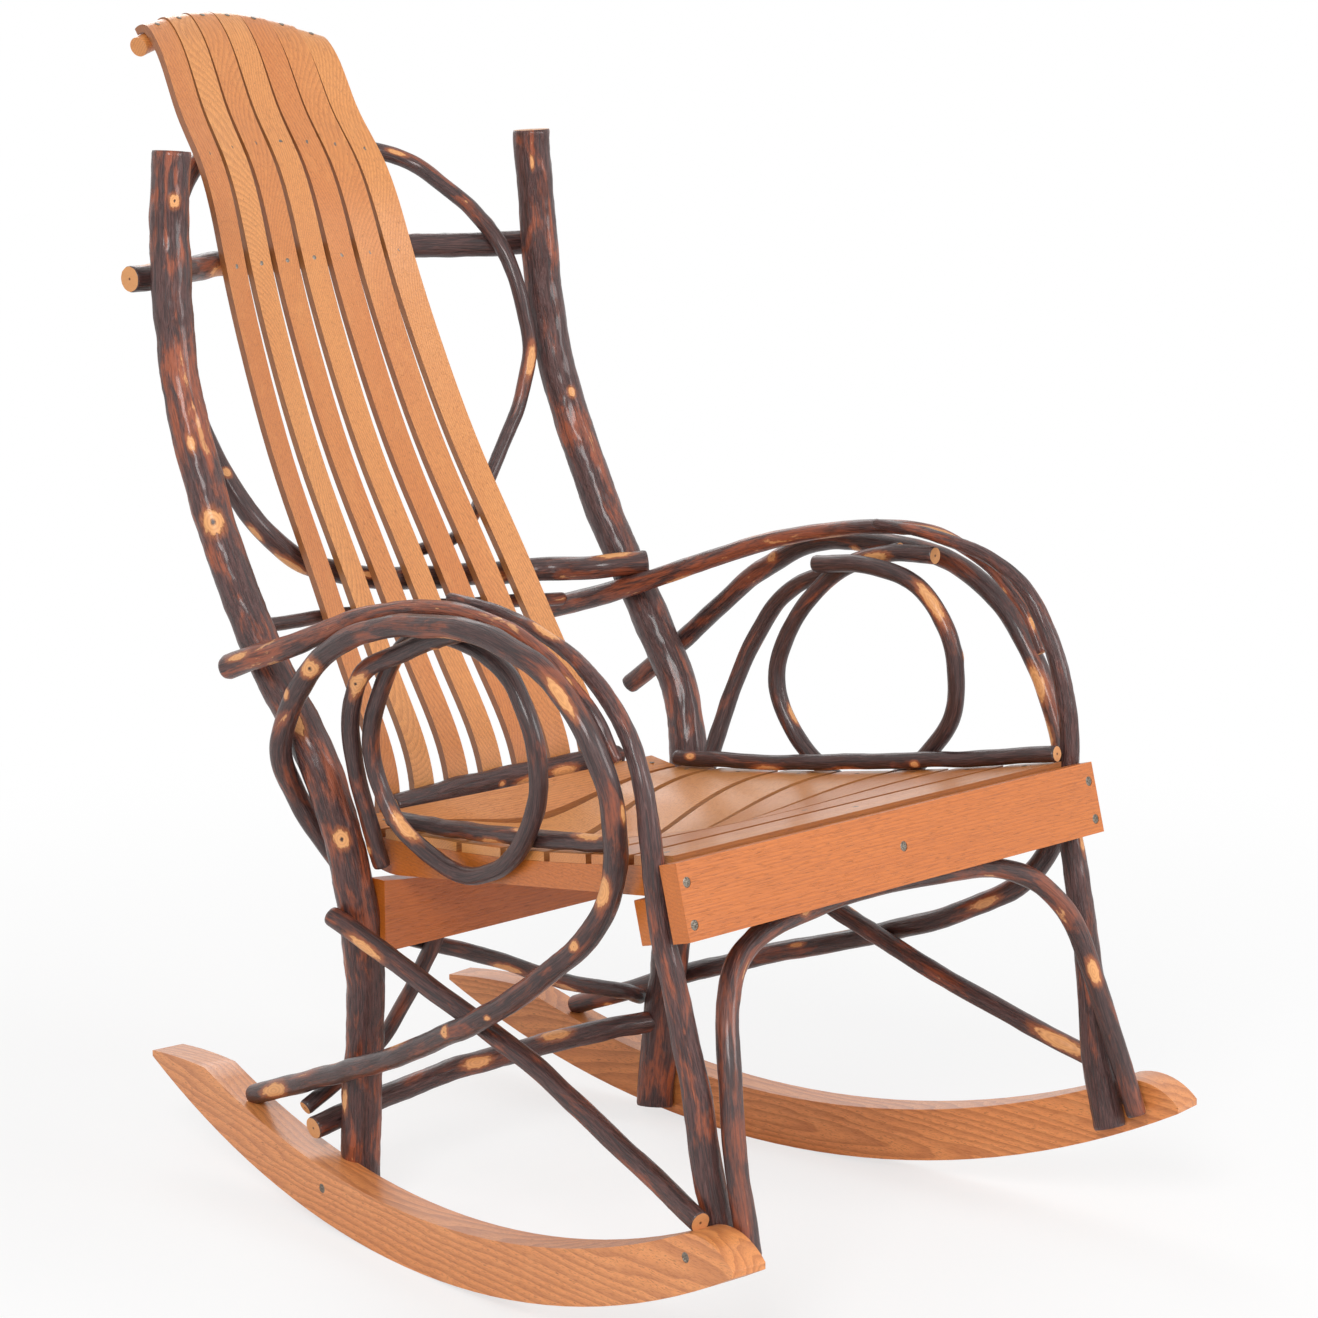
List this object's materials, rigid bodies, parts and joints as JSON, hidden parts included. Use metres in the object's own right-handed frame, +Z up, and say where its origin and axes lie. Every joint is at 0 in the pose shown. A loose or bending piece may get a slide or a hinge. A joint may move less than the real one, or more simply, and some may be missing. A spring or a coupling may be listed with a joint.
{
  "type": "rocking chair",
  "caption": "Rocking chair of bent bark-on sticks with a slatted oak seat and back, looped arms and two sawn runners.",
  "frame": {"origin": "centre of the bounding box in plan, on the floor", "axes": "+Z up, +X to the sitter's left, +Y to the back of the chair"},
  "size_m": [0.644, 1.049, 1.1482],
  "materials": {
    "hickory_bark": "lacquered bark, ridged, with worn and peeled patches",
    "oak_slat": "clear satin varnish",
    "oak_board": "clear satin varnish",
    "oak_runner": "clear satin varnish",
    "steel": "zinc plated"
  },
  "bodies": {
    "root": {"arm_bow_left": "hickory_bark", "arm_bow_right": "hickory_bark", "arm_loop_left": "hickory_bark", "arm_loop_right": "hickory_bark", "arm_ring_left": "hickory_bark", "arm_ring_right": "hickory_bark", "arm_spindle_left": "hickory_bark", "arm_spindle_right": "hickory_bark", "back_hoop": "hickory_bark", "back_post_left": "hickory_bark", "back_post_right": "hickory_bark", "back_slat_1": "oak_slat", "back_slat_2": "oak_slat", "back_slat_3": "oak_slat", "back_slat_4": "oak_slat", "back_slat_5": "oak_slat", "back_slat_6": "oak_slat", "back_slat_7": "oak_slat", "back_slat_nails": "steel", "board_screws": "steel", "centre_rail": "oak_board", "crest_rail": "hickory_bark", "front_arch": "hickory_bark", "front_board": "oak_board", "front_post_left": "hickory_bark", "front_post_right": "hickory_bark", "front_under_rail": "oak_board", "lower_back_stick": "hickory_bark", "rear_board": "oak_board", "rear_brace_lower": "hickory_bark", "rear_brace_upper": "hickory_bark", "rear_stretcher": "hickory_bark", "runner_left": "oak_runner", "runner_right": "oak_runner", "runner_screws": "steel", "seat_back_stick": "hickory_bark", "seat_side_stick_left": "hickory_bark", "seat_side_stick_right": "hickory_bark", "seat_slat_1": "oak_slat", "seat_slat_2": "oak_slat", "seat_slat_3": "oak_slat", "seat_slat_4": "oak_slat", "seat_slat_5": "oak_slat", "seat_slat_6": "oak_slat", "seat_slat_7": "oak_slat", "seat_slat_8": "oak_slat", "seat_slat_nails": "steel", "side_brace_left": "hickory_bark", "side_brace_right": "hickory_bark", "side_rail_left": "oak_board", "side_rail_right": "oak_board", "upper_back_stick": "hickory_bark"}
  },
  "joints": []
}
